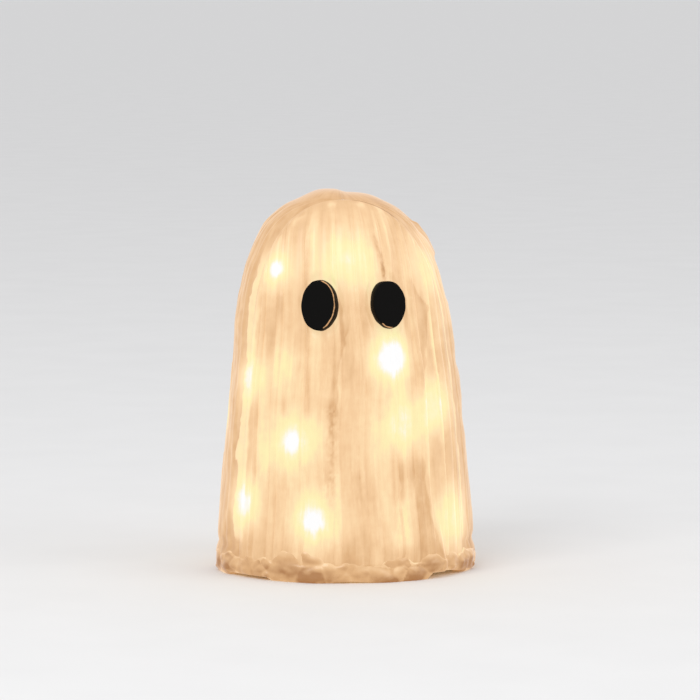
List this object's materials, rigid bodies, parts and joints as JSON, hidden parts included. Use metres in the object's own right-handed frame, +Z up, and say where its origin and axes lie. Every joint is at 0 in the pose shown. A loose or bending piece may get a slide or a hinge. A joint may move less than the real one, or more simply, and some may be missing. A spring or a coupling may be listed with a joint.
{
  "type": "light-up ghost figure",
  "caption": "Free-standing ghost of translucent strand acrylic with black oval eyes, lit from inside by a battery lamp string; door and slide switch under the base.",
  "frame": {"origin": "on the floor under the middle of the hem", "axes": "+Z up, the face towards -Y, +X to the right as seen from the front"},
  "size_m": [0.139, 0.1117, 0.2],
  "materials": {
    "strand_acrylic": "translucent, laid up in strands, lit from inside",
    "hem_acrylic": "translucent, thick and lumpy",
    "eye_plastic": "glossy black, cut by hand",
    "lamp_epoxy": "clear moulded, lit warm white",
    "sleeve_plastic": "shrunk tube",
    "hot_melt": "milky hot-melt glue",
    "cable_plastic": "extruded soft plastic",
    "base_plastic": "moulded, fine spark texture",
    "seal_rubber": "moulded",
    "screw_steel": "zinc plated",
    "cell_jacket": "plain printed jacket",
    "contact_steel": "nickel plated",
    "board_laminate": "green solder mask",
    "chip_resin": "moulded resin",
    "can_steel": "drawn can",
    "switch_plastic": "moulded",
    "slider_plastic": "moulded",
    "red_lead": "extruded",
    "black_lead": "extruded"
  },
  "bodies": {
    "ghost": {"front_shell": "strand_acrylic", "rear_shell": "strand_acrylic", "hem_bead": "hem_acrylic", "left_eye": "eye_plastic", "right_eye": "eye_plastic", "led_lamps": "lamp_epoxy", "lamp_sleeves": "sleeve_plastic", "lamp_glue": "hot_melt", "base_glue": "hot_melt", "lamp_cable": "cable_plastic", "base_moulding": "base_plastic", "door_seal": "seal_rubber", "board_screws": "screw_steel", "battery_1": "cell_jacket", "battery_2": "cell_jacket", "battery_3": "cell_jacket", "contact_springs": "contact_steel", "negative_plate": "contact_steel", "bridge_plate_left": "contact_steel", "bridge_plate_right": "contact_steel", "positive_plate": "contact_steel", "control_board": "board_laminate", "timer_chip": "chip_resin", "crystal_can": "can_steel", "switch_body": "switch_plastic", "positive_lead": "red_lead", "negative_lead": "black_lead"},
    "door": {"battery_door": "base_plastic"},
    "screw": {"door_screw": "screw_steel"},
    "slider": {"switch_slider": "slider_plastic"}
  },
  "joints": [
    {"name": "door_swing", "type": "hinge", "parent": "ghost", "child": "door", "pos_m": [-0.009, 0.02685, 0.006], "axis": [1, 0, 0], "range_deg": [0, 110]},
    {"name": "screw_turn", "type": "hinge", "parent": "door", "child": "screw", "pos_m": [-0.009, -0.02745, 0.0036], "axis": [0, 0, 1], "continuous": true},
    {"name": "switch_slide", "type": "slide", "parent": "ghost", "child": "slider", "axis": [0, 1, 0], "range_m": [0, 0.004]}
  ]
}
